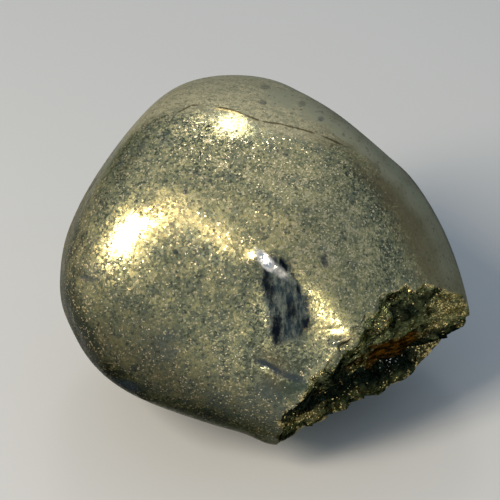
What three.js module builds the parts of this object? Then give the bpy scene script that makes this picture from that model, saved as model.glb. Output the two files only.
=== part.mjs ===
// A hand-size nugget of massive chalcopyrite, tumbled smooth by water, with one rough broken face
// at its lower right front and a small worn flat that it lies on.
//
// Millimetres, +Z up, front towards -Y. The origin is on the resting flat's plane, under the middle
// of the stone's box. The stone is one closed solid: its surface is one radius for each direction
// from a point inside it, called its heart here.

import * as THREE from 'three';

// Faces that tumbling has worn on the stone. Azimuth runs from +X towards +Y and elevation up from
// the horizontal, both in degrees; distance is from the heart to the face, in millimetres.
const WORN_FACES = [
  { name: 'right flank', azimuth: 7, elevation: 20, distance: 23.8 },
  { name: 'upper right shoulder', azimuth: 35, elevation: 36, distance: 20.8 },
  { name: 'crown', azimuth: 80, elevation: 49, distance: 25.5 },
  { name: 'crown, left', azimuth: 121, elevation: 52, distance: 27.0 },
  { name: 'left shoulder', azimuth: 164, elevation: 30, distance: 23.3 },
  { name: 'left end', azimuth: -173, elevation: 0, distance: 26.5 },
  { name: 'lower left', azimuth: -154, elevation: -26, distance: 25.2 },
  { name: 'under the front, left', azimuth: -126, elevation: -52, distance: 21.7 },
  { name: 'under the front, right', azimuth: -74, elevation: -58, distance: 24.4 },
  { name: 'under the break', azimuth: -42, elevation: -58, distance: 20.3 },
  { name: 'right end, low', azimuth: 2, elevation: -26, distance: 27.4 },
  { name: 'front, upper', azimuth: -99, elevation: 67, distance: 19.8 },
  { name: 'front, left', azimuth: -107, elevation: 28, distance: 20.6 },
  { name: 'front, right', azimuth: -42, elevation: 41, distance: 20.6 },
  { name: 'front, low', azimuth: -84, elevation: 18, distance: 20.8 },
  { name: 'toe', azimuth: -96, elevation: -15, distance: 22.6 },
  { name: 'back of the crown', azimuth: 50, elevation: 72, distance: 22.6 },
  { name: 'back, high', azimuth: 106, elevation: 12, distance: 25.0 },
  { name: 'back', azimuth: 90, elevation: -20, distance: 22.0 },
  { name: 'back, left', azimuth: 131, elevation: -24, distance: 23.0 },
  { name: 'back, right', azimuth: 51, elevation: -19, distance: 22.0 },
  { name: 'under the back', azimuth: 90, elevation: -68, distance: 21.0 },
];

// How sharply one worn face turns into the next: 2 is a ball, and a large number a faceted block.
const FACE_SHARPNESS = 11;

// Shallow swells left on the worn skin: height in millimetres, and how fast each one's wave runs
// along X, Y and Z of the direction from the heart.
const SWELLS = [
  { height: 0.18, x: 5.1, y: 2.2, z: -1.3, phase: 0.6 },
  { height: 0.15, x: -3.1, y: 4.7, z: 3.9, phase: 2.1 },
  { height: 0.12, x: 2.3, y: -5.9, z: 6.1, phase: 4.0 },
];

// Knobs on the worn skin, or dents where the height is negative. Azimuth and elevation are of each
// one's middle, its height is in millimetres, and its reach in degrees seen from the heart.
const KNOBS = [
  { name: 'tip under the front', azimuth: -85, elevation: -38, height: 1.2, reach: 7 },
  { name: 'dent under the break', azimuth: -55, elevation: -46, height: -0.9, reach: 9 },
  { name: 'right end', azimuth: -29, elevation: -32, height: 1.1, reach: 10 },
  { name: 'crown, right', azimuth: 62, elevation: 48, height: -0.4, reach: 9 },
  { name: 'right flank', azimuth: 21, elevation: 25, height: 0.4, reach: 10 },
  { name: 'left end', azimuth: -172, elevation: -9, height: 0.35, reach: 8 },
];

// The resting flat lies this far under the heart.
const REST_DEPTH = 20.5;

// The mean plane of the broken face.
const BREAK = { azimuth: -53, elevation: -15, distance: 19.4 };

// Large forms on the broken face, each a soft mound, or a hollow where its height is negative.
// Right and up are measured on the face's mean plane from its middle, in millimetres; turn is in
// degrees, from right towards up.
const BREAK_FORMS = [
  { name: 'left swell', right: -6.5, up: 2.5, height: 0.9, halfLength: 9, halfWidth: 3.5, turn: 61 },
  { name: 'upper scoop', right: 4.6, up: 11.5, height: -1.5, halfLength: 5, halfWidth: 4, turn: 0 },
  { name: 'right tip', right: 17, up: 3, height: 1.6, halfLength: 5, halfWidth: 5, turn: 0 },
  { name: 'foot', right: -9, up: -11, height: -1.0, halfLength: 4, halfWidth: 4, turn: 0 },
  { name: 'undercut', right: 8.5, up: -4.2, height: -2.2, halfLength: 6.5, halfWidth: 1.5, turn: -10 },
  { name: 'undercut, right end', right: 16, up: -4.6, height: -1.6, halfLength: 4, halfWidth: 1.2, turn: 5 },
  { name: 'lower lip', right: 10.5, up: -7.6, height: 0.8, halfLength: 7, halfWidth: 1.8, turn: -8 },
  { name: 'lip, right end', right: 15.5, up: -7.4, height: 1.3, halfLength: 3, halfWidth: 2.2, turn: -10 },
];

// Sets of parallel fracture steps across the broken face: full height and spacing in millimetres.
const BREAK_STEPS = [
  { height: 0.5, spacing: 4.6, turn: 28, phase: 0.2 },
  { height: 0.35, spacing: 3.1, turn: -48, phase: 0.6 },
];

// Facets of the solid: sectors around the broken face, rings across it, and rings over the rest.
const SECTORS = 88;
const BREAK_RINGS = 12;
const BODY_RINGS = 36;

// The broken edge is looked for out to this angle from the break's middle, by halving the range.
const WIDEST_EDGE_ANGLE = THREE.MathUtils.degToRad(75);
const HALVINGS = 40;

// A face that looks away from a direction is treated as endlessly far along it.
const GRAZING = 1e-3;

function directionOf(azimuth, elevation) {
  const polar = THREE.MathUtils.degToRad(90 - elevation);
  const around = THREE.MathUtils.degToRad(azimuth);
  return new THREE.Vector3(
    Math.sin(polar) * Math.cos(around),
    Math.sin(polar) * Math.sin(around),
    Math.cos(polar),
  );
}

const wornNormals = WORN_FACES.map((face) => directionOf(face.azimuth, face.elevation));
const knobMiddles = KNOBS.map((knob) => directionOf(knob.azimuth, knob.elevation));

const breakNormal = directionOf(BREAK.azimuth, BREAK.elevation);
const breakRight = new THREE.Vector3(0, 0, 1).cross(breakNormal).normalize();
const breakUp = new THREE.Vector3().crossVectors(breakNormal, breakRight);

// The worn skin: the faces' planes blended by a power sum, with the swells and knobs added.
function wornRadius(direction) {
  let sum = 0;
  WORN_FACES.forEach((face, index) => {
    const nearness = Math.max(direction.dot(wornNormals[index]), 0) / face.distance;
    sum += nearness ** FACE_SHARPNESS;
  });
  let radius = sum ** (-1 / FACE_SHARPNESS);
  for (const swell of SWELLS) {
    const run = swell.x * direction.x + swell.y * direction.y + swell.z * direction.z;
    radius += swell.height * Math.sin(run + swell.phase);
  }
  KNOBS.forEach((knob, index) => {
    const apart = direction.distanceTo(knobMiddles[index]) / THREE.MathUtils.degToRad(knob.reach);
    radius += knob.height * Math.exp(-apart * apart);
  });
  return radius;
}

// A wave of straight slopes between -0.5 and 0.5, one to each unit of t.
function zigzag(t) {
  return Math.abs(2 * (t - Math.floor(t + 0.5))) - 0.5;
}

// Height of the broken face over its mean plane.
function breakHeight(right, up) {
  let height = 0;
  for (const form of BREAK_FORMS) {
    const turn = THREE.MathUtils.degToRad(form.turn);
    const offRight = right - form.right;
    const offUp = up - form.up;
    const along = (offRight * Math.cos(turn) + offUp * Math.sin(turn)) / form.halfLength;
    const across = (offUp * Math.cos(turn) - offRight * Math.sin(turn)) / form.halfWidth;
    height += form.height * Math.exp(-along * along - across * across);
  }
  for (const step of BREAK_STEPS) {
    const turn = THREE.MathUtils.degToRad(step.turn);
    const run = right * Math.cos(turn) + up * Math.sin(turn);
    height += step.height * zigzag(run / step.spacing + step.phase);
  }
  return height;
}

function breakRadius(direction) {
  const facing = Math.max(direction.dot(breakNormal), GRAZING);
  const reach = BREAK.distance / facing;
  const right = direction.dot(breakRight) * reach;
  const up = direction.dot(breakUp) * reach;
  return (BREAK.distance + breakHeight(right, up)) / facing;
}

function restRadius(direction) {
  return REST_DEPTH / Math.max(-direction.z, GRAZING);
}

function stoneRadius(direction) {
  return Math.min(wornRadius(direction), breakRadius(direction), restRadius(direction));
}

// The direction at an angle from the break's middle and a turn around it.
function directionFromBreak(angle, turn) {
  return new THREE.Vector3()
    .addScaledVector(breakNormal, Math.cos(angle))
    .addScaledVector(breakRight, Math.sin(angle) * Math.cos(turn))
    .addScaledVector(breakUp, Math.sin(angle) * Math.sin(turn));
}

// The angle at which the broken face meets the worn skin.
function edgeAngle(turn) {
  let inside = 0;
  let outside = WIDEST_EDGE_ANGLE;
  for (let halving = 0; halving < HALVINGS; halving += 1) {
    const middle = (inside + outside) / 2;
    const direction = directionFromBreak(middle, turn);
    if (breakRadius(direction) < wornRadius(direction)) inside = middle;
    else outside = middle;
  }
  return inside;
}

// Bends a sphere's own rings and sectors to the stone. Its pole goes to the middle of the break, one
// ring goes exactly round the broken edge, and each vertex is then moved out to the stone's surface.
function nuggetGeometry() {
  const geometry = new THREE.SphereGeometry(1, SECTORS, BREAK_RINGS + BODY_RINGS);
  const places = geometry.getAttribute('position');
  const grid = geometry.getAttribute('uv');
  const edgeShare = BREAK_RINGS / (BREAK_RINGS + BODY_RINGS);
  for (let index = 0; index < places.count; index += 1) {
    const turn = 2 * Math.PI * grid.getX(index);
    const share = 1 - grid.getY(index);
    const edge = edgeAngle(turn);
    const angle = share <= edgeShare
      ? edge * (share / edgeShare)
      : edge + (Math.PI - edge) * ((share - edgeShare) / (1 - edgeShare));
    const direction = directionFromBreak(angle, turn);
    direction.multiplyScalar(stoneRadius(direction));
    places.setXYZ(index, direction.x, direction.y, direction.z);
  }
  geometry.computeBoundingBox();
  const middle = geometry.boundingBox.getCenter(new THREE.Vector3());
  geometry.translate(-middle.x, -middle.y, REST_DEPTH);
  geometry.computeVertexNormals();
  return geometry;
}

// Brassy olive gold, dulled by a thin tarnish.
const chalcopyrite = new THREE.MeshStandardMaterial({
  color: 0x8f8a62,
  roughness: 0.38,
  metalness: 0.85,
});

const nugget = new THREE.Mesh(nuggetGeometry(), chalcopyrite);
nugget.name = 'chalcopyrite_nugget';

const specimen = new THREE.Group();
specimen.add(nugget);

export default specimen;
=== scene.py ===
"""A tumbled nugget of massive chalcopyrite with one rough broken face, on a plain pale floor.

The stone's surface is one radius for each direction from a point inside it, called its heart. Its
sizes are in millimetres here, and MM turns them into Blender's metres.
"""

import math
from functools import reduce

import bpy
import numpy as np
from bpy.props import FloatProperty, FloatVectorProperty, IntProperty, PointerProperty
from mathutils import Matrix, Vector


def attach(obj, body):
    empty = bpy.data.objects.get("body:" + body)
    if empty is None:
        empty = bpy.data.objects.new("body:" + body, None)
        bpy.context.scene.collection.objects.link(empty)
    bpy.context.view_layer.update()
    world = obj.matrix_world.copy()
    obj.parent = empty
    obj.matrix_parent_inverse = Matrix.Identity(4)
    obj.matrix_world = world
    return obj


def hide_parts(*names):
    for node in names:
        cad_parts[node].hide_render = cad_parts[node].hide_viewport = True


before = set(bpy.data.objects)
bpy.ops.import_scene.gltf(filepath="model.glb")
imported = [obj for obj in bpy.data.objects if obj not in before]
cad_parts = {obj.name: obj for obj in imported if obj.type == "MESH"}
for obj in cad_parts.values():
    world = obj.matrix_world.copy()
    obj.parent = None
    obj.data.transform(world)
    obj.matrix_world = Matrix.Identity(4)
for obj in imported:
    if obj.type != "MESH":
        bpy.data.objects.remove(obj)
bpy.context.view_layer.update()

bl_info = {
    "name": "Chalcopyrite nugget",
    "version": (1, 0, 0),
    "blender": (4, 5, 0),
    "location": "3D View > Sidebar > Nugget",
    "description": "Makes a tumbled chalcopyrite nugget with one broken face, and its stage",
    "category": "Add Mesh",
}

MM = 0.001
NODE = "chalcopyrite_nugget"
SLOT = "chalcopyrite"

# The stone's form. Azimuth runs from +X towards +Y and elevation up from the horizontal, in
# degrees; lengths are in millimetres, and places are measured from the heart.

# Worn faces: azimuth, elevation, distance.
WORN_FACES = (
    (7, 20, 23.8),      # right flank
    (35, 36, 20.8),     # upper right shoulder
    (80, 49, 25.5),     # crown
    (121, 52, 27.0),    # crown, left
    (164, 30, 23.3),    # left shoulder
    (-173, 0, 26.5),    # left end
    (-154, -26, 25.2),  # lower left
    (-126, -52, 21.7),  # under the front, left
    (-74, -58, 24.4),   # under the front, right
    (-42, -58, 20.3),   # under the break
    (2, -26, 27.4),     # right end, low
    (-99, 67, 19.8),    # front, upper
    (-107, 28, 20.6),   # front, left
    (-42, 41, 20.6),    # front, right
    (-84, 18, 20.8),    # front, low
    (-96, -15, 22.6),   # toe
    (50, 72, 22.6),     # back of the crown
    (106, 12, 25.0),    # back, high
    (90, -20, 22.0),    # back
    (131, -24, 23.0),   # back, left
    (51, -19, 22.0),    # back, right
    (90, -68, 21.0),    # under the back
)
FACE_SHARPNESS = 11

# Shallow swells of the worn skin: height, and the wave's run along X, Y, Z, and its phase.
SWELLS = (
    (0.18, (5.1, 2.2, -1.3), 0.6),
    (0.15, (-3.1, 4.7, 3.9), 2.1),
    (0.12, (2.3, -5.9, 6.1), 4.0),
)

# Knobs and dents of the worn skin: azimuth, elevation, height, reach in degrees.
KNOBS = (
    (-85, -38, 1.2, 7),     # tip under the front
    (-55, -46, -0.9, 9),    # dent under the break
    (-29, -32, 1.1, 10),    # right end, under the break
    (62, 48, -0.4, 9),      # crown, right
    (21, 25, 0.4, 10),      # right flank
    (-172, -9, 0.35, 8),    # left end
)

# Small chips and ledges, too fine for the CAD: azimuth, elevation, height, reach in degrees.
CHIPS = (
    (-148, 9, 0.25, 3), (-149, -1, -0.5, 4), (-138, 0, 0.25, 3),
    (-133, -9, -0.5, 5), (-128, -16, 0.3, 2.5),
)

# Long low mounds and hollows of the front: right, up, height, half length, half width, turn.
FRONT_FORMS = (
    (-10.7, 6.2, 1.20, 13.0, 5.9, 55),   # ridge, left
    (2.0, 6.8, 0.40, 7.5, 1.9, -14),     # ridge above the inclusion
    (-9.7, 3.0, -0.71, 8.5, 5.0, -57),   # hollow under the ridges
    (-19.9, -0.9, 0.22, 2.4, 5.0, 46),   # swell at the left end
    (-0.6, 12.0, 0.60, 5.1, 3.9, 30),    # swell of the upper slope
    (-3.6, 14.2, 0.14, 2.3, 1.3, 0),     # knob under the crown's crack
    (9.0, -9.4, 0.12, 2.0, 0.6, -12),    # ledge beside the break
    (7.2, -7.9, 0.10, 1.2, 0.3, 5),      # ridge beside the inclusion
    (1.1, -0.2, 0.65, 1.5, 1.5, 0),      # polished lip of the inclusion
    (-0.95, 0.6, 0.20, 0.75, 0.75, 0),   # polished brass beside the lip
    (2.2, -5.0, -0.30, 5.0, 2.2, -80),   # hollow of the inclusion
    (1.2, -12.7, -0.25, 2.0, 0.5, -28),  # groove under the inclusion
    (3.8, -14.0, -0.15, 2.2, 0.6, -20),  # groove's end
)

# How far the resting flat lies under the heart.
REST_DEPTH = 20.5

# The broken face's mean plane: azimuth, elevation, distance.
BREAK = (-53, -15, 19.4)

# Mounds and hollows of the broken face: right, up, height, half length, half width, turn.
BREAK_FORMS = (
    (-6.5, 2.5, 0.9, 9, 3.5, 61),     # left swell
    (4.6, 11.5, -1.5, 5, 4, 0),       # upper scoop
    (17, 3, 1.6, 5, 5, 0),            # right tip
    (-9, -11, -1.0, 4, 4, 0),         # foot
    (8.5, -4.2, -2.2, 6.5, 1.5, -10),  # undercut
    (16, -4.6, -1.6, 4, 1.2, 5),      # undercut, right end
    (10.5, -7.6, 0.8, 7, 1.8, -8),    # lower lip
    (15.5, -7.4, 1.3, 3, 2.2, -10),   # lower lip, right end
)

# Parallel fracture steps of the broken face: full height, spacing, turn, phase.
BREAK_STEPS = ((0.5, 4.6, 28, 0.2), (0.35, 3.1, -48, 0.6))

# The rusty layer: right, up, half length, half width, turn; its ledges' height and spacing.
RUSTY_LAYER = (5.4, 0.9, 5.4, 2.1, -9)
RUSTY_LEDGES = (0.28, 0.7)

# Crystal facets of the broken face: size of a facet, and how steeply the facets tilt.
BREAK_FACETS = ((3.4, 0.24), (1.7, 0.20), (0.8, 0.10))

# Broad patches on the front's chart: right, up, half length, half width, turn, strength.
FRONT_PATCHES = {
    "bluish": (
        (-12.2, -9.8, 2.4, 2.6, 20, 0.85), (1.4, -15.4, 2.4, 1.6, 0, 0.9),
        (3.6, -13.6, 1.8, 0.7, -24, 0.7), (-8.4, 2.1, 2.6, 1.4, -50, 0.6),
        (-4.2, -1.2, 1.6, 1.3, 0, 0.5), (7.4, 1.4, 1.7, 1.3, -60, 0.6),
        (-20.3, -0.8, 1.6, 1.6, 0, 0.6), (3.4, 14.9, 2.6, 0.5, -10, 0.6),
        (9.6, 5, 3, 1.6, -50, 0.4),
    ),
    # golden: golden patches, partly the stone's tint and partly a painted glow round the lamps'
    # highlights.
    "golden": (
        (-11.8, 5.4, 3.2, 2.2, 35, 0.9), (-5.2, 3.2, 3.4, 1.2, -30, 0.8),
        (-1.7, 0.9, 1.2, 0.6, -5, 1), (-12.6, -7, 2, 1.2, 10, 0.6),
        (7.6, -6.6, 2.8, 1.6, -50, 0.7), (9.4, -8.5, 1.3, 0.7, -12, 1),
        (7.4, -7.6, 1.2, 0.4, 5, 1), (-22, -5.4, 1.6, 0.5, -55, 1),
        (-19.9, -11, 1.8, 0.5, -50, 1),
    ),
    # Painted light: patches of the front painted lighter where more light falls.
    "bright": (
        (6.4, 4.2, 9, 4.4, -62, 1.5), (10.6, 0, 5.5, 2.6, -70, 1.2),
        (-1, 10.8, 6, 3.4, -10, 0.7), (-11.5, -1.5, 5, 2, 0, 0.5),
    ),
    "dim": ((1.2, -11.6, 2.4, 3.4, 0, 2.4), (5, -10.6, 2, 1.4, -30, 1)),
    "brown": (
        (12.4, 10.3, 3.2, 0.8, -50, 0.9), (14.8, 8, 2.6, 1.1, -54, 1.2),
        (17.5, 4, 4.6, 1.9, -60, 0.8), (19.5, -0.5, 3, 1.6, -70, 0.6),
        (7.6, 14.3, 3.4, 0.35, -22, 0.6), (-16.2, 11.6, 3.6, 0.5, 52, 0.6),
        (1.2, -12.4, 1.6, 2.6, 10, 0.9), (-19.6, 7.4, 3, 0.5, 58, 0.4),
    ),
    # polished: smoother spots where the lamps' highlights fall, also painted lighter as a painted
    # highlight.
    "polished": (
        (-3.5, 16.6, 2.4, 1.6, -20, 1), (-1.7, 1, 1.1, 0.5, 0, 1),
        (-15.8, 3.4, 4.6, 2.4, 45, 1), (9.4, -8.6, 1.5, 0.9, -10, 1),
    ),
    # Dark green patches; those towards the left end and along the lower left are painted shade.
    "moss_and_shade": (
        (3, -14.9, 2.2, 1.6, -20, 0.9), (-18.6, -13.3, 2.4, 1.4, -40, 1),
        (-22.4, -7.6, 5, 1.4, -66, 1.6), (-15.5, -15.6, 2.2, 0.9, -20, 0.8),
        (-7, -18, 4, 1, -17, 0.6), (-23.8, 0.5, 3, 1, 85, 0.6),
    ),
    "smooth": ((4.2, 16.6, 5.4, 1.7, -14, 1),),
}

# Broad patches on the broken face's plane: right, up, half length, half width, turn, strength.
BREAK_PATCHES = {
    # shade: painted shadow in the broken face's hollows and under the rusty layer's overhang.
    "shade": (
        (7.2, 7, 2.6, 1.6, 20, 1), (2.2, 11, 1, 2.4, 20, 0.7),
        (5.4, 4.4, 2, 0.9, 0, 0.7), (-4.2, 3, 2.4, 1.7, 50, 1),
        (-1.4, -0.2, 0.5, 1.6, 20, 0.8), (-8.1, -0.3, 1.4, 1.8, 0, 1),
        (9, -2.8, 8, 1.5, -10, 1.3), (8.5, -4.8, 5.5, 1.3, -8, 1.2),
        (-1, -3, 3, 1.2, -10, 1),
    ),
    "gilt": (
        (13.8, 5.4, 2.4, 2.8, 0, 1), (2.9, 7.3, 0.9, 0.7, 0, 1),
        (12.6, 1.4, 1.3, 0.9, 0, 1), (13.5, -5.6, 2, 1.2, -10, 0.9),
        (-6.7, -5.4, 2.6, 1.4, -30, 0.8), (-6, 6, 3, 0.4, 45, 0.7),
    ),
    "worn": ((-2.5, 9.3, 5.4, 1.4, 47, 1), (1.4, 12.6, 2.6, 1.5, 25, 1)),
    "rust": ((*RUSTY_LAYER, 1),),
    # Painted glints: silvery specks on one ledge.
    "silvery_glints": ((8.2, -5.2, 2.6, 0.8, -5, 0.8),),
}

# A painted sheen, the pale band along the right rim: a chain of places on the front's chart, and its
# half width.
PAINTED_SHEEN_BAND = (
    (0.5, 20.6), (4.6, 19.4), (8.6, 17), (11.5, 14.9),
    (14.5, 12.4), (17.3, 9.6), (20.5, 5.6), (22.4, 1.8), (23.1, -2),
)
PAINTED_SHEEN_HALF = 1.2

# The heart's place in the row frame.
HEART = (-0.16, -1.21, REST_DEPTH)

# The widest angle at which the broken edge is sought, the halvings of a search, the least cosine
# that counts as facing, and the side of the table of facet seeds.
WIDEST_EDGE_ANGLE = math.radians(75)
HALVINGS = 36
GRAZING = 1e-3
SEED_TABLE = 64

# Each stretch of a chain reaches a little past its ends.
STRETCH_REACH = 0.6


def heading(azimuth, elevation):
    """Unit vector at an azimuth and an elevation in degrees."""
    around, up = math.radians(azimuth), math.radians(elevation)
    return np.array([math.cos(up) * math.cos(around), math.cos(up) * math.sin(around), math.sin(up)])


def sideways_of(normal):
    """Two axes across a plane: level to the right of its outward normal, and up it."""
    right = np.cross((0, 0, 1), normal)
    right /= np.linalg.norm(right)
    return right, np.cross(normal, right)


WORN_NORMALS = np.array([heading(azimuth, elevation) for azimuth, elevation, _ in WORN_FACES])
WORN_DISTANCES = np.array([distance for _, _, distance in WORN_FACES])
BREAK_NORMAL = heading(BREAK[0], BREAK[1])
BREAK_RIGHT, BREAK_UP = sideways_of(BREAK_NORMAL)

# The front is charted on a plane that looks 38 degrees up from -Y, with its middle at the heart.
FRONT_NORMAL = heading(-90, 38)
FRONT_RIGHT, FRONT_UP = sideways_of(FRONT_NORMAL)


def worn_radius(direction):
    """The worn skin: 1 / (sum of (cosine to each face / its distance)^n)^(1/n), plus the swells.

    A knob or chip adds height * exp(-(distance between the unit directions / reach)^2), and the
    front's mounds are added on the side that faces its chart.
    """
    nearness = np.maximum(direction @ WORN_NORMALS.T, 0) / WORN_DISTANCES
    radius = (nearness ** FACE_SHARPNESS).sum(axis=-1) ** (-1 / FACE_SHARPNESS)
    for height, run, phase in SWELLS:
        radius = radius + height * np.sin(direction @ np.array(run) + phase)
    for azimuth, elevation, height, reach in KNOBS + CHIPS:
        apart = 2 - 2 * direction @ heading(azimuth, elevation)
        radius = radius + height * np.exp(-apart / math.radians(reach) ** 2)
    point = direction * radius[..., None]
    facing = point @ FRONT_NORMAL > 0
    return radius + facing * mounds(point @ FRONT_RIGHT, point @ FRONT_UP, FRONT_FORMS)


def zigzag(t):
    """A wave of straight slopes between -0.5 and 0.5, one to each unit of t."""
    return np.abs(2 * (t - np.floor(t + 0.5))) - 0.5


def turned(right, up, turn):
    """Coordinates along and across an axis that is turned by some degrees from right towards up."""
    angle = math.radians(turn)
    along = right * math.cos(angle) + up * math.sin(angle)
    return along, up * math.cos(angle) - right * math.sin(angle)


def mounds(right, up, forms):
    """Soft mounds and hollows: height * exp(-(along / half length)^2 - (across / half width)^2)."""
    height = np.zeros(right.shape)
    for at_right, at_up, tall, half_length, half_width, turn in forms:
        along, across = turned(right - at_right, up - at_up, turn)
        height += tall * np.exp(-(along / half_length) ** 2 - (across / half_width) ** 2)
    return height


def stretches(chain, half_width):
    """A long thin patch for each stretch of a chain of places."""
    for (right, up), (next_right, next_up) in zip(chain, chain[1:]):
        run_right, run_up = next_right - right, next_up - up
        turn = math.degrees(math.atan2(run_up, run_right))
        half_length = math.hypot(run_right, run_up) * STRETCH_REACH
        yield (right + next_right) / 2, (up + next_up) / 2, half_length, half_width, turn, 1


def patch_field(right, up, patches):
    """How deep places lie in patches: the most of strength * (2 - distance in half sizes), or 0."""
    depth = np.zeros(right.shape)
    for at_right, at_up, half_length, half_width, turn, strength in patches:
        along, across = turned(right - at_right, up - at_up, turn)
        distance = np.hypot(along / half_length, across / half_width)
        depth = np.maximum(depth, strength * (2 - distance))
    return depth


def facet_field(right, up, size, tilt, seed):
    """Tilted crystal facets: every point takes the sloping plane of the nearest scattered seed."""
    table = np.random.default_rng(seed).random((SEED_TABLE, SEED_TABLE, 5))
    across, along = right / size, up / size
    column, row = np.floor(across).astype(int), np.floor(along).astype(int)
    nearest = np.full(right.shape, np.inf)
    height = np.zeros(right.shape)
    for step_across in (-1, 0, 1):
        for step_along in (-1, 0, 1):
            seeds = table[(column + step_across) % SEED_TABLE, (row + step_along) % SEED_TABLE]
            off_across = across - (column + step_across + seeds[..., 0])
            off_along = along - (row + step_along + seeds[..., 1])
            distance = off_across ** 2 + off_along ** 2
            plane = (seeds[..., 2] - 0.5) * off_across + (seeds[..., 3] - 0.5) * off_along
            plane = plane * 2 + (seeds[..., 4] - 0.5) * 0.4
            height = np.where(distance < nearest, plane, height)
            nearest = np.minimum(nearest, distance)
    return height * size * tilt


def break_height(right, up):
    """The broken face over its mean plane: soft mounds, zigzag steps and tilted facets, added.

    In the rusty layer, fine zigzag ledges take the facets' place.
    """
    height = mounds(right, up, BREAK_FORMS)
    for tall, spacing, turn, phase in BREAK_STEPS:
        height += tall * zigzag(turned(right, up, turn)[0] / spacing + phase)
    at_right, at_up, half_length, half_width, turn = RUSTY_LAYER
    tall, spacing = RUSTY_LEDGES
    along, across = turned(right - at_right, up - at_up, turn)
    rusty = np.exp(-(along / half_length) ** 4 - (across / half_width) ** 4)
    height += rusty * tall * zigzag(across / spacing + 0.12 * np.sin(along * 1.3))
    for seed, (size, tilt) in enumerate(BREAK_FACETS):
        height += (1 - rusty) * facet_field(right, up, size, tilt, seed)
    return height


def break_radius(direction):
    """The broken face: (plane distance + relief) / cosine to the plane's normal."""
    facing = np.maximum(direction @ BREAK_NORMAL, GRAZING)
    reach = BREAK[2] / facing
    relief = break_height(direction @ BREAK_RIGHT * reach, direction @ BREAK_UP * reach)
    return (BREAK[2] + relief) / facing


def rest_radius(direction):
    """The resting flat, a level plane under the heart."""
    return REST_DEPTH / np.maximum(-direction[..., 2], GRAZING)


def from_break(angle, turn):
    """Directions at an angle from the break's middle and a turn around it."""
    angle, turn = np.broadcast_arrays(angle, turn)
    return (
        np.cos(angle)[..., None] * BREAK_NORMAL
        + (np.sin(angle) * np.cos(turn))[..., None] * BREAK_RIGHT
        + (np.sin(angle) * np.sin(turn))[..., None] * BREAK_UP
    )


def halved(inside, outside, is_inside):
    """Where a test stops being true between two numbers, found by halving the gap."""
    for _ in range(HALVINGS):
        middle = (inside + outside) / 2
        holds = is_inside(middle)
        inside, outside = np.where(holds, middle, inside), np.where(holds, outside, middle)
    return inside


def edge_angles(turns):
    """The angle at which the broken face meets the worn skin, at each turn."""

    def is_broken(angle):
        direction = from_break(angle, turns)
        return break_radius(direction) < worn_radius(direction)

    return halved(0.0, WIDEST_EDGE_ANGLE, is_broken)


def stone_grid(sectors, break_rings, body_rings):
    """Points of the stone on rings around the break's middle, one ring exactly on its edge.

    Parameters are the turn around the break's normal and the angle away from it. Returns the
    points in millimetres from the heart, and how far each lies outside the broken edge.
    """
    turns = np.arange(sectors) * (2 * math.pi / sectors)
    edge = edge_angles(turns)
    across_break = np.arange(0, break_rings + 1)[:, None] / break_rings * edge
    across_body = np.arange(1, body_rings + 1)[:, None] / body_rings * (math.pi - edge) + edge
    angle = np.concatenate((across_break, across_body))
    direction = from_break(angle, turns)
    worn, broken, rest = worn_radius(direction), break_radius(direction), rest_radius(direction)
    radius = np.minimum(np.minimum(worn, broken), rest)
    return direction * radius[..., None], (angle - edge) * radius


def stone_fields(points, outside):
    """The numbers that the material reads at each point: one depth for each kind of patch."""
    fields = {"outside": outside}
    facing = points @ FRONT_NORMAL > 0
    right, up = points @ FRONT_RIGHT, points @ FRONT_UP
    for name, patches in FRONT_PATCHES.items():
        fields[name] = patch_field(right, up, patches) * facing
    # The painted sheen along the right rim.
    fields["pale"] = patch_field(right, up, stretches(PAINTED_SHEEN_BAND, PAINTED_SHEEN_HALF)) * facing
    right, up = points @ BREAK_RIGHT, points @ BREAK_UP
    for name, patches in BREAK_PATCHES.items():
        fields[name] = patch_field(right, up, patches) * (points @ BREAK_NORMAL > 0)
    return fields


def grid_faces(rings, sectors):
    """Triangles between neighbouring rings, closed round the turn; the end rings are points."""
    lower = np.arange(rings - 1)[:, None] * sectors + np.arange(sectors)
    beside = np.arange(rings - 1)[:, None] * sectors + (np.arange(sectors) + 1) % sectors
    first = np.stack((lower, lower + sectors, beside + sectors), axis=-1)[: rings - 2]
    second = np.stack((lower, beside + sectors, beside), axis=-1)[1:]
    faces = np.concatenate((first.reshape(-1, 3), second.reshape(-1, 3)))
    last = (rings - 1) * sectors
    faces = np.where(faces < sectors, 0, faces)
    return np.where(faces >= last, last, faces)


def mesh_from_grid(name, points, attributes):
    """A mesh from a grid of points in metres, with one number per point for each attribute."""
    rings, sectors = points.shape[:2]
    faces = grid_faces(rings, sectors)
    used, index = np.unique(faces, return_inverse=True)
    mesh = bpy.data.meshes.new(name)
    mesh.from_pydata(points.reshape(-1, 3)[used].tolist(), [], index.reshape(-1, 3).tolist())
    for title, values in attributes.items():
        layer = mesh.attributes.new(title, "FLOAT", "POINT")
        layer.data.foreach_set("value", values.reshape(-1)[used].astype(np.float32))
    mesh.polygons.foreach_set("use_smooth", np.ones(len(mesh.polygons), bool))
    mesh.update()
    return mesh


def front_point(right, up):
    """The point of the stone's surface over a place of the front's chart."""

    def at_depth(depth):
        return FRONT_RIGHT * right + FRONT_UP * up + FRONT_NORMAL * depth

    def is_buried(depth):
        length = np.linalg.norm(at_depth(depth))
        direction = at_depth(depth)[None] / length
        return length < min(worn_radius(direction)[0], break_radius(direction)[0])

    return at_depth(halved(0.0, 2 * REST_DEPTH, is_buried))


# Shader maths, written as Python expressions.


def is_vector(side):
    """Whether one side of a sum is a vector, as a wire or as plain numbers."""
    return side.socket.type == "VECTOR" if isinstance(side, Wire) else np.ndim(side) > 0


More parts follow.
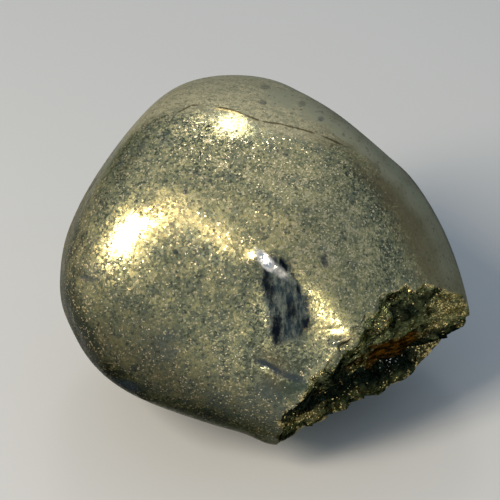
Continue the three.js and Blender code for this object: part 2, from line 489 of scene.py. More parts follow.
class Wire:
    """A socket of a material's node tree. Arithmetic on it adds the Math nodes that it names."""

    # Makes a numpy array leave arithmetic with a wire to the wire.
    __array_ufunc__ = None

    def __init__(self, shader, socket):
        self.shader = shader
        self.socket = socket

    def _of_vector(self, operation, inputs, output="Vector"):
        return self.shader.node("ShaderNodeVectorMath", {"operation": operation}, inputs, output)

    def _maths(self, operation, left, right):
        """One operation on two numbers, two vectors, or a vector and a number that scales it."""
        if not is_vector(left) and not is_vector(right):
            return self.shader.node("ShaderNodeMath", {"operation": operation}, {0: left, 1: right})
        if operation == "MULTIPLY" and not is_vector(right):
            return self._of_vector("SCALE", {0: left, "Scale": right})
        if operation == "MULTIPLY" and not is_vector(left):
            return self._of_vector("SCALE", {0: right, "Scale": left})
        return self._of_vector(operation, {0: left, 1: right})

    def __add__(self, other):
        return self._maths("ADD", self, other)

    def __radd__(self, other):
        return self._maths("ADD", other, self)

    def __sub__(self, other):
        return self._maths("SUBTRACT", self, other)

    def __rsub__(self, other):
        return self._maths("SUBTRACT", other, self)

    def __mul__(self, other):
        return self._maths("MULTIPLY", self, other)

    def __rmul__(self, other):
        return self._maths("MULTIPLY", other, self)

    def dot(self, other):
        """Dot product with a vector, as a number."""
        return self._of_vector("DOT_PRODUCT", {0: self, 1: tuple(other)}, "Value")

    def length(self):
        """The vector's length, as a number."""
        return self._of_vector("LENGTH", {0: self}, "Value")

    def unit(self):
        """The vector at length one."""
        return self._of_vector("NORMALIZE", {0: self})

    def least(self, other):
        return self._maths("MINIMUM", self, other)

    def most(self, other):
        return self._maths("MAXIMUM", self, other)

    def ramp(self, low, high):
        """A soft step from 0 at low to 1 at high; it falls where low is above high."""
        if low > high:
            return 1 - self.ramp(high, low)
        settings = {"interpolation_type": "SMOOTHSTEP"}
        inputs = {"Value": self, "From Min": low, "From Max": high}
        return self.shader.node("ShaderNodeMapRange", settings, inputs)

    def output(self, name):
        """Another output of the same node."""
        return Wire(self.shader, self.socket.node.outputs[name])


class Shader:
    """The node tree of a new material, built one node at a time."""

    def __init__(self, name):
        self.material = bpy.data.materials.new(name)
        self.material.use_nodes = True
        self.tree = self.material.node_tree
        self.tree.nodes.clear()

    def node(self, kind, settings=None, inputs=None, output=0):
        """Adds a node: its settings first, then each input's value or link. Returns one output."""
        node = self.tree.nodes.new(kind)
        for name, value in (settings or {}).items():
            setattr(node, name, value)
        for key, value in (inputs or {}).items():
            socket = node.inputs[key]
            if isinstance(value, Wire):
                self.tree.links.new(value.socket, socket)
            elif socket.type == "VECTOR" and isinstance(value, (int, float)):
                socket.default_value = (value, value, value)
            elif socket.type == "RGBA":
                socket.default_value = (*value[:3], 1.0)
            else:
                socket.default_value = value
        return Wire(self, node.outputs[output]) if len(node.outputs) else None

    def mix(self, factor, first, second):
        """One colour turning into another as the factor goes from 0 to 1.

        A Mix node's colours are its inputs 6 and 7, and its mixed colour is its output 2.
        """
        settings = {"data_type": "RGBA"}
        return self.node("ShaderNodeMix", settings, {0: factor, 6: first, 7: second}, 2)

    def coated(self, colour, *coats):
        """A colour under coats of others, each coat a mask and the colour that it brings."""
        for mask, coat in coats:
            colour = self.mix(mask, colour, coat)
        return colour

    def noise(self, place, size, detail=2.0, roughness=0.5):
        """Smooth noise around 0.5, with features of about the size given."""
        inputs = {"Vector": place, "Scale": 1 / size, "Detail": detail, "Roughness": roughness}
        return self.node("ShaderNodeTexNoise", None, inputs)

    def three_numbers(self, colour):
        """A colour's three numbers, after the vector of all three."""
        red = self.node("ShaderNodeSeparateColor", None, {0: colour}, "Red")
        green, blue = red.output("Green"), red.output("Blue")
        vector = self.node("ShaderNodeCombineXYZ", None, {0: red, 1: green, 2: blue})
        return vector, red, green, blue

    def three_noises(self, place, size, detail=2.0, roughness=0.5):
        """Three unlike noises of one size: a vector, and its three numbers."""
        return self.three_numbers(self.noise(place, size, detail, roughness).output("Color"))

    def cells(self, place, size):
        """Scattered cells of about the size given: a random vector, and its three numbers."""
        inputs = {"Vector": place, "Scale": 1 / size}
        return self.three_numbers(self.node("ShaderNodeTexVoronoi", None, inputs, "Color"))

    def field(self, name):
        """A number that the mesh carries at each point."""
        return self.node("ShaderNodeAttribute", {"attribute_name": name}, None, "Fac")

    def patches(self, name, wobble, softness=0.5):
        """1 inside the ragged patches of one kind that the mesh carries."""
        return (self.field(name) - wobble).ramp(1 - softness, 1 + softness)


# Materials. Their lengths and places are in millimetres from the heart too.

BLACK = (0.0, 0.0, 0.0)
GREY = (0.5, 0.5, 0.5)

# The tumbled front shows its grain in front of a plane, and so does the left end. The rest is
# smoother skin, and the underside is darkened with painted shade.
GRAINY_SIDE = heading(-99, 29)
GRAINY_EDGE = 10.0
GRAINY_END = heading(-170, -5)
SHADED_UNDERSIDE = heading(-130, -35)

# Sizes of the features in each noise.
BROAD_SIZE = 6.5
MOTTLE_SIZE = 1.7
RAGGED_SIZE = 0.55
STREAK_SIZE = 2.4
FIBRE_SIZE = 0.5
RUST_LINE_SIZE = 0.45
FLOOR_MOTTLE_SIZE = 30.0

# Sizes of the broken face's cells: grains of ore, and larger facets.
ORE_GRAIN_SIZE = 0.17
ORE_FACET_SIZE = 1.1

# Outline of the dark inclusion on the front's chart, anticlockwise.
INCLUSION = (
    (-0.35, 1.2), (-0.45, -2.2), (0.2, -5.5), (0.9, -9.3),
    (1.5, -9.9), (4.6, -8.7), (5.9, -6.9), (4.9, -3.4), (2.8, 0.7),
)

# Marks on the front's chart: right, up, half length, half width, turn, strength.
BLACK_STREAKS = (
    (2.35, -0.2, 1.2, 0.32, -66, 1), (3.6, -1.4, 0.65, 0.2, -70, 1),
    (4.1, -3.05, 0.5, 0.22, -65, 0.9), (0.6, -2.6, 2.4, 0.55, -76, 0.9),
    (1.6, -7.8, 1.9, 0.75, -88, 1), (3.4, -5.6, 1.1, 0.6, -75, 0.8),
    (5, -7.3, 0.8, 0.6, -80, 0.8), (0.1, 1.25, 1.2, 0.28, -12, 0.8),
)
# Painted highlight: silver streaks along the inclusion's polished lip.
SILVER_HIGHLIGHT_STREAKS = ((0.25, 0.3, 1.5, 0.6, -47, 1), (1.8, -0.9, 1.2, 0.5, -44, 0.3))
DARK_SPOTS = (
    (-9.2, 8.4, 0.4, 0.32, 0, 0.9), (-8.1, 10.6, 0.5, 0.3, 40, 0.6),
    (-10.7, 4.5, 0.5, 0.35, 20, 0.8), (-14.5, 3.3, 0.5, 0.3, 60, 0.8),
    (-10.3, 1.3, 0.35, 0.35, 0, 0.9), (-20.7, -1.9, 1.1, 0.35, -8, 0.8),
    (7.2, 0.1, 0.8, 0.35, -65, 0.9), (-0.2, 3.3, 1, 0.35, -40, 0.5),
    (0.2, -12, 1.2, 0.4, -22, 1), (1.6, -12.8, 0.9, 0.4, -28, 1),
    (3.2, -13.5, 1.6, 0.45, -22, 0.8), (8.8, -9.4, 1.6, 0.4, -8, 0.8),
    (0.4, 21.7, 0.6, 0.35, 0, 0.5), (0, 19.5, 0.45, 0.35, 0, 0.6),
    (4.9, 19.5, 0.5, 0.4, 0, 0.5), (7.1, 17.5, 0.4, 0.3, 0, 0.6),
    (-16.6, -15, 1.7, 0.9, -10, 0.9),
)
# How far a mark reaches in and out of the surface.
MARK_DEPTH = 4.0

# Cracks on the front's chart, each a chain of places, and their half width.
DARK_CRACKS = (
    ((-10, 18.4), (-8.7, 19.1), (-7.4, 19.2)),
    (
        (-5.4, 18.9), (-4, 18.6), (-2.4, 18), (-0.4, 17.1),
        (2.2, 16.7), (4.6, 16.1), (6.9, 15.4), (10.2, 13.9),
    ),
    ((-7, 16.1), (-5.9, 16.9)),
)
# A painted glint: golden lines along the crown's crack, where its ledge catches the light.
CRACK_GLINT_LINES = (((-5.2, 18.6), (-3.8, 18.3), (-2.4, 17.8)),)
CRACK_HALF = 0.1


def chart_mask(shader, place, wobble, form, softness):
    """1 inside a ragged ellipse on the front's chart, times its strength."""
    right, up, half_length, half_width, turn, strength = form
    angle = math.radians(turn)
    along = FRONT_RIGHT * math.cos(angle) + FRONT_UP * math.sin(angle)
    axes = np.array((along, np.cross(FRONT_NORMAL, along), FRONT_NORMAL))
    inputs = {
        "Vector": place,
        "Location": tuple(front_point(right, up)),
        "Rotation": Matrix(axes.T.tolist()).to_euler(),
        "Scale": (half_length, half_width, MARK_DEPTH),
    }
    local = shader.node("ShaderNodeMapping", {"vector_type": "TEXTURE"}, inputs)
    return (local.length() + wobble).ramp(1 + softness, 1 - softness) * strength


def any_mark(shader, place, wobble, forms, softness=0.5):
    """1 inside any of several marks, each joined to the others as soon as it is made."""
    masks = (chart_mask(shader, place, wobble, form, softness) for form in forms)
    return reduce(Wire.most, masks)


def crack_marks(chains):
    """A long thin mark for each stretch of each crack."""
    return [form for chain in chains for form in stretches(chain, CRACK_HALF)]


def outline_mask(place, wobble, outline, softness):
    """1 inside a convex outline on the front's chart, and 0 outside."""
    inside = None
    for (right, up), (next_right, next_up) in zip(outline, outline[1:] + outline[:1]):
        length = math.hypot(next_right - right, next_up - up)
        out_right, out_up = (next_up - up) / length, (right - next_right) / length
        outward = FRONT_RIGHT * out_right + FRONT_UP * out_up
        depth = place.dot(-outward) + (right * out_right + up * out_up)
        inside = depth if inside is None else inside.least(depth)
    return (inside + wobble).ramp(-softness, softness)


class Rock:
    """The places, noises, grains and masks that the stone's finishes share."""

    def __init__(self, shader, grain_size):
        here = shader.node("ShaderNodeTexCoord", None, None, "Object")
        self.place = here * (1 / MM) - HEART
        self.outside = shader.field("outside")
        self.frontward = self.place.dot(GRAINY_SIDE)
        self.rightward = self.place.dot((1, 0, 0))
        self.upward = self.place.dot(FRONT_UP)
        self._add_noises(shader)
        self._add_grains(shader, grain_size)
        self._add_masks(shader)

    def _add_noises(self, shader):
        """Noises around 0.5, and three around 0 that roughen outlines."""
        place = self.place
        _, self.mottle, self.veil, self.lump = shader.three_noises(place, MOTTLE_SIZE, 3.0, 0.62)
        _, self.broad, self.drift, _ = shader.three_noises(place, BROAD_SIZE)
        self.warp, ragged, _, _ = shader.three_noises(place, RAGGED_SIZE, 2.0, 0.6)
        self.ragged = (ragged - 0.5) * 2
        self.soft = self.ragged * 0.35
        self.patchy = self.ragged * 0.6
        stretched = place + GRAINY_SIDE * (self.frontward * 3.0)
        self.streaks = shader.noise(stretched, STREAK_SIZE, 4.0, 0.65)

    def _add_grains(self, shader, size):
        """Crystal grains: each cell has its own tilt and its own numbers between 0 and 1."""
        place, warp = self.place, self.warp - 0.5
        warped = place + warp * (size * 1.1)
        self.coarse_tilt, self.coarse_tone, self.pit, self.gloss = shader.cells(warped, size)
        self.fine_tilt, self.fine_tone, self.sparkle, _ = shader.cells(warped, size * 0.5)
        ore = shader.cells(place + warp * 0.3, ORE_GRAIN_SIZE)
        self.ore_tilt, self.ore_tone, self.ore_chance, _ = ore
        facets = shader.cells(place + warp * 0.9, ORE_FACET_SIZE)
        self.facet_tilt, self.facet_tone, self.facet_hue, _ = facets

    def _add_masks(self, shader):
        """Where each finish lies, and how strongly the grains show."""
        mottle = self.mottle - 0.5
        worn = shader.patches("worn", self.ragged, 0.3)
        self.broken = (self.outside + self.ragged * 0.35).ramp(0.1, -0.1) * (1 - worn)
        self.polished = shader.patches("polished", self.soft, 0.6)
        smooth = shader.patches("smooth", self.soft)
        grainy = self.frontward + mottle * 5 + self.ragged * 0.5 - smooth * 3
        grainy = grainy.ramp(GRAINY_EDGE - 1.8, GRAINY_EDGE + 1.2)
        grainy = grainy.most((self.place.dot(GRAINY_END) + mottle * 6).ramp(13, 17))
        self.grainy = grainy.most(self.polished)
        # The left end: its colour is darkened with painted shade, and it is rougher and less
        # metallic.
        self.leftward = (self.rightward + mottle * 6).ramp(-18, -23)
        crisp = self.upward + self.rightward * 0.5 + (self.drift - 0.5) * 16
        self.crisp = crisp.ramp(-6, 10) * 0.55 + 0.75
        self.contrast = (self.fine_tone + self.coarse_tone - 1) * (0.6 - self.polished * 0.35)
        # Painted light: these patches raise the tone and the chance of glints.
        self.bright = shader.patches("bright", self.patchy, 0.8)
        self.dim = shader.patches("dim", self.patchy, 0.8)
        # Painted glints: sparse grains take the lightest flake colour; they also tilt more and are
        # smoother.
        glint = self.sparkle + mottle * 0.1 + self.bright * 0.04 - self.dim * 0.05
        self.glint = glint.ramp(0.93, 0.94)


def worn_brass(shader, colours, rock):
    """Worn, grainy brass, from dark seams to the lightest flakes, and the tone that it follows, with
    painted light, painted highlights and glints, and painted shade towards the bottom.
    """
    mottle = rock.mottle - 0.5
    tone = rock.contrast * rock.crisp + mottle * 1.3 + (rock.broad - 0.5) * 0.6 + 0.48
    # Golden patches: partly tint, partly a painted glow round the highlights.
    golden = shader.patches("golden", rock.patchy, 0.8)
    # Painted light: the tone is raised in the lit patches.
    tone = tone + golden * 0.25 + rock.bright * 0.3
    # Painted highlight: the polished spots, where the lamps' highlights fall, are painted lighter.
    tone = tone + rock.polished * 0.4 - rock.dim * 0.3
    bluish = shader.patches("bluish", rock.patchy, 0.8)
    bluish = bluish.most((rock.veil + (rock.fine_tone - 0.5) * 0.3).ramp(0.56, 0.72) * 0.7)
    # Painted shade: darker and bluer towards the bottom of the front.
    bluish = bluish.most((rock.upward + mottle * 8).ramp(-13, -19) * 0.7)
    # Dark green patches, in part painted shade towards the left end and the lower left.
    moss_and_shade = shader.patches("moss_and_shade", rock.patchy + mottle * 1.5, 0.7)
    pitted = (rock.pit + (rock.veil - 0.5) * 0.3).ramp(0.95, 0.97)
    gold = shader.coated(
        colours.seam,
        (tone.ramp(-0.1, 0.5), colours.tarnish),
        (tone.ramp(0.3, 0.95), colours.brass),
        (tone.ramp(0.85, 1.25) * 0.7, colours.flake),
        (golden * 0.25, colours.gold_speck),
        (bluish * (1 - golden) * 0.75, colours.bluish),
        (moss_and_shade * (1 - rock.fine_tone * 0.3), colours.moss_and_shade),
        (rock.glint, colours.flake),
        (pitted * 0.6, colours.seam),
    )
    return gold, tone


def smooth_skin(shader, colours, rock):
    """Worn, smooth skin, with a painted sheen (a pale band) and painted shade (a dark rim) at the
    right.
    """
    mottle, streaks = rock.mottle - 0.5, rock.streaks - 0.5
    tone = streaks * 2.2 + mottle * 1.2 + rock.contrast * 1.6
    olive = (rock.rightward + streaks * 8).ramp(4, 12)
    # Painted sheen: the pale band along the right rim, lighter towards the top.
    pale = shader.patches("pale", streaks * 2.2)
    pale = pale * (rock.upward.ramp(2, 10) * 0.45 + streaks * 0.5 + 0.4)
    # Painted shade: the skin behind the right rim is painted nearly black.
    depth = rock.frontward + streaks * 3
    fade = (depth + (rock.drift - 0.5) * 12 + mottle * 4).ramp(-15, -3)
    rim = depth.ramp(2.2, -0.6) * fade * rock.rightward.ramp(2, 9)
    pitted = (rock.pit + mottle * 0.3).ramp(0.93, 0.97)
    return shader.coated(
        colours.dull_skin,
        (tone.ramp(-0.45, 0.4), colours.skin),
        (rock.glint * 0.35, colours.flake),
        (olive * 0.7, colours.olive),
        (pale, colours.pale),
        (rim * 0.85, colours.rim),
        (pitted * 0.5, colours.seam),
    )


def stained_and_shaded(shader, colours, rock, worn):
    """The worn surface with brown streaks, spots and cracks, a painted glint along the crown's
    crack, and painted shade on the underside and the left end.
    """
    place, mottle = rock.place, rock.mottle - 0.5
    brown = shader.patches("brown", rock.ragged * 0.4 + (rock.streaks - 0.5) * 1.2, 0.8)
    painted_under_shade = (place.dot(SHADED_UNDERSIDE) + mottle * 4).ramp(11.5, 21)
    wobble = rock.ragged * 0.9 + (rock.veil - 0.5) * 3
    return shader.coated(
        worn,
        (brown * (0.8 - rock.fine_tone * 0.4), colours.brown),
        # Painted shade: black laid over the underside and the left end.
        ((painted_under_shade * 0.75).most(rock.leftward * 0.65), BLACK),
        (any_mark(shader, place, rock.soft, DARK_SPOTS) * 0.85, colours.blue_grey),
        (any_mark(shader, place, wobble, crack_marks(DARK_CRACKS)) * 0.8, colours.crack),
        # Painted glint along the crown's crack.
        (any_mark(shader, place, wobble, crack_marks(CRACK_GLINT_LINES)) * 0.8, colours.gold_speck),
    )


def fibrous_inclusion(shader, colours, rock, worn):
    """Adds the dark inclusion and the painted highlight on its lip. Returns the colour, and where
    the inclusion and its painted highlight are.
    """
    place, ragged = rock.place, rock.ragged
    wobble = ragged * 0.55 + (rock.mottle - 0.5) * 0.8
    included = outline_mask(place, wobble, INCLUSION, 0.45)
    fibres = shader.noise(place + FRONT_UP * (rock.upward * -0.75), FIBRE_SIZE, 3.0, 0.7)
    fray = ragged * 0.3 + (fibres - 0.5) * 1.8
    black = any_mark(shader, place, fray, BLACK_STREAKS, 0.6)
    # Painted highlight on the inclusion's lip.
    silver_highlight = any_mark(shader, place, rock.soft, SILVER_HIGHLIGHT_STREAKS)
    fibrous = shader.mix(fibres.ramp(0.38, 0.72), colours.slate, colours.ash)
    fibrous = shader.mix(black, fibrous, colours.black)
    colour = shader.coated(worn, (included, fibrous), (silver_highlight, colours.silver_highlight))
    return colour, included, silver_highlight


def broken_ore(shader, colours, rock):
    """Olive ore of the broken face, with painted shade in its hollows and under the rusty layer,
    gilt parts, painted glints and a rusty layer.
    """
    mottle, veil, tone = rock.mottle - 0.5, rock.veil - 0.5, rock.ore_tone
    right, up = rock.place.dot(BREAK_RIGHT), rock.place.dot(BREAK_UP)
    shade = shader.patches("shade", rock.patchy, 0.8)
    gilt = shader.patches("gilt", rock.patchy, 0.8)
    upper = (up + right * 0.1 + mottle * 6).ramp(-1, 3)
    lip = (up + right * 0.15 + mottle * 3).ramp(-4, -6)
    gloom = (tone * 0.4 + rock.facet_tone * 0.5 + veil * 2.5).ramp(0.75, -0.1)

    # Painted glints: scattered light specks, thicker along the broken edge, and silvery on one
    # ledge.
    silvery_glints = shader.patches("silvery_glints", rock.patchy)
    chance = gilt * 0.2 + upper.most(lip) * 0.02 + veil * 0.3 - shade * 0.05 + silvery_glints * 0.1
    rimmed = (rock.outside + 0.35).ramp(-0.2, 0.2)
    rimmed = rimmed * (mottle + (tone - 0.5) * 0.3).ramp(0.02, 0.1)
    specks = (rock.ore_chance + chance).ramp(0.96, 0.99).most(rimmed * 0.8)
    speck = shader.mix(silvery_glints, colours.gold_speck, colours.silver_highlight)

    # The rusty layer, with dark lines along it.
    angle = math.radians(RUSTY_LAYER[-1])
    along = BREAK_RIGHT * math.cos(angle) + BREAK_UP * math.sin(angle)
    drawn_out = rock.place + along * (rock.place.dot(along) * -0.85)
    lines = shader.noise(drawn_out, RUST_LINE_SIZE, 2.0, 0.6).ramp(0.42, 0.6)
    return shader.coated(
        colours.dark_ore,
        (upper, colours.ore),
        (lip * 0.8, colours.lip),
        (rock.facet_hue.ramp(0.5, 0.9) * 0.6, colours.umber),
        (gloom * 0.92, colours.dark_ore),
        (gilt * (tone * 0.6 + 0.3), colours.gilt),
        (shade * 0.85, colours.dark_ore),
        (specks, speck),
        (
            shader.patches("rust", mottle * 1.2, 0.3),
            shader.mix(lines, colours.dark_rust, colours.rust),
        ),
    )


def grain_normal(shader, rock):
    """The normal, tilted by each grain: gently on the smooth skin, wildly on the broken face."""
    normal = shader.node("ShaderNodeNewGeometry", None, None, "Normal")
    broken, fine_tilt = rock.broken, rock.fine_tilt - 0.5
    worn_spread = rock.grainy * rock.crisp * (0.075 - rock.polished * 0.05) + 0.025
    spread = worn_spread * (1 - broken) + broken * 0.7
    tilt = (rock.coarse_tilt - 0.5) * spread + fine_tilt * (spread * 0.7 + rock.glint * 0.1)
    tilt = tilt + (rock.ore_tilt - 0.5) * (broken * 0.5)
    tilt = tilt + (rock.facet_tilt - 0.5) * (broken * 0.6)
    return (normal + tilt).unit()


def chalcopyrite_material(colours, grain_size):
    """Tumbled massive sulfide: sparkling brassy grains, dulled by tarnish; rusty where broken."""
    shader = Shader(SLOT)
    rock = Rock(shader, grain_size / MM)
    gold, tone = worn_brass(shader, colours, rock)
    worn = shader.mix(rock.grainy, smooth_skin(shader, colours, rock), gold)
    worn = stained_and_shaded(shader, colours, rock, worn)
    worn, included, silver_highlight = fibrous_inclusion(shader, colours, rock, worn)
    colour = shader.mix(rock.broken, worn, broken_ore(shader, colours, rock))

    roughness = rock.leftward * 0.25 - rock.grainy * 0.22 + 0.5
    roughness = roughness + (rock.gloss - 0.5) * 0.2 + (rock.lump - 0.5) * 0.2
    roughness = roughness - rock.polished.most(silver_highlight) * 0.16
    roughness = (roughness - rock.glint * 0.1 - rock.broken * 0.06).most(0.12)
    metallic = rock.grainy * 0.35 + tone.ramp(0.2, 0.8) * 0.1 + 0.5
    metallic = metallic * (1 - included * 0.6) * (1 - rock.leftward * 0.6)
    metallic = metallic.most(rock.broken * 0.97).most(silver_highlight)
    surface = shader.node(
        "ShaderNodeBsdfPrincipled",
        None,
        {
            "Base Color": colour,
            "Metallic": metallic,
            "Roughness": roughness,
            "Specular IOR Level": 0.2,
            "Specular Tint": (0.28, 0.30, 0.26),
            "Normal": grain_normal(shader, rock),
        },
    )
    shader.node("ShaderNodeOutputMaterial", None, {"Surface": surface})
    return shader.material


def floor_material(stage):
    """Plain matt pale floor with a very faint mottle."""
    shader = Shader("pale_floor")
    place = shader.node("ShaderNodeTexCoord", None, None, "Object")
    mottle = shader.noise(place, FLOOR_MOTTLE_SIZE * MM, 3.0)
    colour = shader.mix(mottle * 0.1, stage.floor_colour, GREY)
    surface = shader.node("ShaderNodeBsdfPrincipled", None, {"Base Color": colour, "Roughness": 0.9})
    shader.node("ShaderNodeOutputMaterial", None, {"Surface": surface})
    return shader.material


# Settings, operators and panel.


def tint(name, what, default):
    """A colour setting that says what it colours."""
    return FloatVectorProperty(
        name=name, description="Colour of " + what, size=3, subtype="COLOR", default=default)


class NuggetSizes(bpy.types.PropertyGroup):
    """Sizes of the nugget and its grid."""

    sectors: IntProperty(
        name="Sectors", description="Grid steps around the broken face", default=352, min=24)
    break_rings: IntProperty(
        name="Break rings", description="Grid steps across the broken face", default=72, min=6)
    body_rings: IntProperty(
        name="Body rings", description="Grid steps over the worn skin", default=208, min=12)
    grain_size: FloatProperty(
        name="Grain size", description="Size of a sulfide grain", default=0.0003, unit="LENGTH")


class NuggetColours(bpy.types.PropertyGroup):
    """Colours of the nugget."""

    brass: tint("Brass", "clean grains", (0.5, 0.465, 0.23))
    flake: tint("Flakes", "the brightest flakes", (0.98, 0.83, 0.54))
    tarnish: tint("Tarnish", "dulled grains", (0.245, 0.272, 0.188))
    seam: tint("Seams", "the dark seams between grains", (0.07, 0.085, 0.062))
    # Bluish tarnish; towards the bottom of the front it is painted shade.
    bluish: tint("Bluish tarnish", "the blue-grey patches", (0.145, 0.18, 0.175))
    # Dark green tarnish, in part painted shade towards the left end and the lower left.
    moss_and_shade: tint("Mossy tarnish", "the dark green patches", (0.052, 0.078, 0.06))
    skin: tint("Smooth skin", "the clean smooth skin", (0.42, 0.41, 0.29))
    dull_skin: tint("Dull skin", "the dulled smooth skin", (0.24, 0.25, 0.18))
    olive: tint("Olive skin", "the skin at the right", (0.11, 0.11, 0.065))
    # The pale band is a painted sheen, and the dark rim is painted shade.
    pale: tint("Pale band", "the pale band along the rim", (0.31, 0.325, 0.25))
    rim: tint("Dark rim", "the skin behind the right rim", (0.05, 0.065, 0.05))
    brown: tint("Brown tarnish", "the brown streaks", (0.125, 0.105, 0.06))
    blue_grey: tint("Dark spots", "the blue-grey spots", (0.04, 0.055, 0.075))
    crack: tint("Cracks", "the cracks", (0.05, 0.04, 0.015))
    slate: tint("Slate", "the inclusion's darker fibres", (0.018, 0.032, 0.045))
    ash: tint("Ash", "the inclusion's lighter fibres", (0.125, 0.15, 0.135))
    black: tint("Black", "the inclusion's streaks", (0.002, 0.004, 0.009))
    # Painted highlight on the inclusion's lip; also the colour of the broken face's silvery painted
    # glints.
    silver_highlight: tint("Silver", "the inclusion's polished edge", (0.92, 0.95, 1.0))
    ore: tint("Broken ore", "the upper broken face", (0.165, 0.19, 0.09))
    dark_ore: tint("Dark ore", "the middle broken face", (0.008, 0.014, 0.01))
    lip: tint("Ore lip", "the lower broken face", (0.085, 0.1, 0.045))
    gold_speck: tint("Gold specks", "the broken face's glints", (0.85, 0.69, 0.32))
    gilt: tint("Gilt", "the broken face's golden parts", (0.26, 0.235, 0.1))
    umber: tint("Umber", "the broken face's brown facets", (0.055, 0.035, 0.012))
    rust: tint("Rust", "the broken face's rusty layer", (0.105, 0.045, 0.005))
    dark_rust: tint("Dark rust", "the dark lines in the rust", (0.014, 0.01, 0.003))


class StageSettings(bpy.types.PropertyGroup):
    """Sizes and colours of the stage."""

    floor_size: FloatProperty(
        name="Floor size", description="Side of the square floor", default=3.0, unit="LENGTH")
    floor_colour: tint("Floor", "the floor", (0.52, 0.57, 0.64))
    camera_distance: FloatProperty(
        name="Camera distance", description="From the camera to the stone's heart", default=0.24,
        unit="LENGTH")


def link(thing):
    """Puts an object in the scene and returns it."""
    bpy.context.scene.collection.objects.link(thing)
    return thing


class NUGGET_OT_make_stone(bpy.types.Operator):
    """Make the chalcopyrite nugget in place of the CAD solid"""

    bl_idname = "nugget.make_stone"
    bl_label = "Make the nugget"

    def execute(self, context):
        sizes = context.scene.nugget_sizes
        points, outside = stone_grid(sizes.sectors, sizes.break_rings, sizes.body_rings)
        fields = stone_fields(points, outside)
        mesh = mesh_from_grid("nugget", (points + HEART) * MM, fields)
        colours = context.scene.nugget_colours
        mesh.materials.append(chalcopyrite_material(colours, sizes.grain_size))
        stone = link(bpy.data.objects.new("nugget", mesh))
        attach(stone, "root")
        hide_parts(NODE)
        return {"FINISHED"}


# Lamps: name, azimuth, elevation, distance, width and height in metres, radiance, colour.
LAMPS = (
    ("left_lamp", -140, 43, 0.5, 0.11, 0.22, 34, (1, 0.82, 0.6)),
    ("left_panel", -135, 42, 0.55, 0.34, 0.34, 1, (1, 0.86, 0.66)),
    ("back_lamp", 92, 62, 0.5, 0.09, 0.08, 6, (1, 0.93, 0.84)),
    ("low_lamp", -72, 3, 0.45, 0.045, 0.035, 55, (1, 0.86, 0.62)),
    ("low_panel", -76, 7, 0.5, 0.16, 0.08, 1.4, (1, 0.94, 0.8)),
    ("overhead_panel", 120, 72, 1.3, 1.3, 1.3, 0.2, (1, 0.98, 0.95)),
    ("back_panel", 80, 18, 1.5, 1.2, 1.2, 0.2, (0.95, 0.98, 1)),
)
WORLD_STRENGTH = 0.32
WORLD_COLOUR = (0.78, 0.91, 1.0)

# The camera's frame: its side and the heart's place in pixels, and its scale at the heart.
PICTURE_SIDE = 500
HEART_IN_PICTURE = (262, 262)
PIXELS_PER_MM = 7.85
SENSOR_WIDTH = 36.0


def aim(thing, place, target):
    """Moves an object to a place and turns its -Z axis to a target, with +Y up."""
    thing.location = place
    thing.rotation_euler = Vector(target - place).to_track_quat("-Z", "Y").to_euler()


def make_floor(stage):
    """A square level floor under the stone."""
    half = stage.floor_size / 2
    corners = [(-half, -half, 0), (half, -half, 0), (half, half, 0), (-half, half, 0)]
    mesh = bpy.data.meshes.new("floor")
    mesh.from_pydata(corners, [], [(0, 1, 2, 3)])
    mesh.materials.append(floor_material(stage))
    link(bpy.data.objects.new("floor", mesh))


def make_lamps(heart):
    """Soft rectangular lamps that face the heart, each of power radiance * pi * area."""
    for name, azimuth, elevation, distance, width, height, radiance, colour in LAMPS:
        light = bpy.data.lights.new(name, "AREA")
        light.shape = "RECTANGLE"
        light.size = width
        light.size_y = height
        light.energy = radiance * math.pi * width * height
        light.color = colour
        place = heart + heading(azimuth, elevation) * distance
        aim(link(bpy.data.objects.new(name, light)), place, heart)


def make_world(scene):
    """An even, faintly blue light from all round."""
    scene.world = bpy.data.worlds.new("studio")
    scene.world.use_nodes = True
    background = scene.world.node_tree.nodes["Background"]
    background.inputs["Color"].default_value = (*WORLD_COLOUR, 1.0)
    background.inputs["Strength"].default_value = WORLD_STRENGTH
    scene.view_settings.view_transform = "Standard"


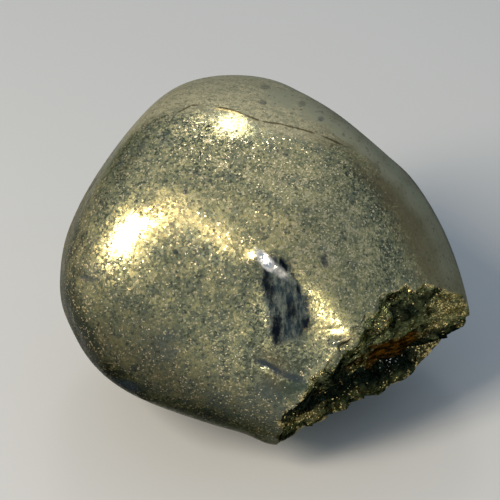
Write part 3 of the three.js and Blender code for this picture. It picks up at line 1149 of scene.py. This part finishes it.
def make_camera(scene, heart, distance):
    """A camera square to the front's chart, moved sideways until the heart is at its pixel."""
    camera = bpy.data.cameras.new("camera")
    camera.sensor_width = SENSOR_WIDTH
    camera.lens = SENSOR_WIDTH * distance * PIXELS_PER_MM / (PICTURE_SIDE * MM)
    off_right, off_down = (
        (pixel - PICTURE_SIDE / 2) / PIXELS_PER_MM * MM for pixel in HEART_IN_PICTURE)
    target = heart - FRONT_RIGHT * off_right + FRONT_UP * off_down
    scene.camera = link(bpy.data.objects.new("camera", camera))
    aim(scene.camera, target + FRONT_NORMAL * distance, target)


class NUGGET_OT_set_stage(bpy.types.Operator):
    """Set the floor, the soft studio lamps and the camera"""

    bl_idname = "nugget.set_stage"
    bl_label = "Set the stage"

    def execute(self, context):
        stage = context.scene.nugget_stage
        heart = np.array(HEART) * MM
        make_floor(stage)
        make_lamps(heart)
        make_world(context.scene)
        make_camera(context.scene, heart, stage.camera_distance)
        return {"FINISHED"}


class NUGGET_PT_panel(bpy.types.Panel):
    """Lists the nugget's operators and settings"""

    bl_idname = "NUGGET_PT_panel"
    bl_label = "Chalcopyrite nugget"
    bl_space_type = "VIEW_3D"
    bl_region_type = "UI"
    bl_category = "Nugget"

    def draw(self, context):
        scene = context.scene
        for groups, operator in (
            ((scene.nugget_sizes, scene.nugget_colours), NUGGET_OT_make_stone),
            ((scene.nugget_stage,), NUGGET_OT_set_stage),
        ):
            for group in groups:
                for name in group.bl_rna.properties.keys():
                    if name not in {"rna_type", "name"}:
                        self.layout.prop(group, name)
            self.layout.operator(operator.bl_idname)


GROUPS = {
    "nugget_sizes": NuggetSizes,
    "nugget_colours": NuggetColours,
    "nugget_stage": StageSettings,
}
CLASSES = (*GROUPS.values(), NUGGET_OT_make_stone, NUGGET_OT_set_stage, NUGGET_PT_panel)


def register():
    for cls in CLASSES:
        bpy.utils.register_class(cls)
    for name, group in GROUPS.items():
        setattr(bpy.types.Scene, name, PointerProperty(type=group))


def unregister():
    for name in GROUPS:
        delattr(bpy.types.Scene, name)
    for cls in reversed(CLASSES):
        bpy.utils.unregister_class(cls)


def main():
    register()
    bpy.ops.nugget.make_stone()
    bpy.ops.nugget.set_stage()


if __name__ == "__main__":
    main()
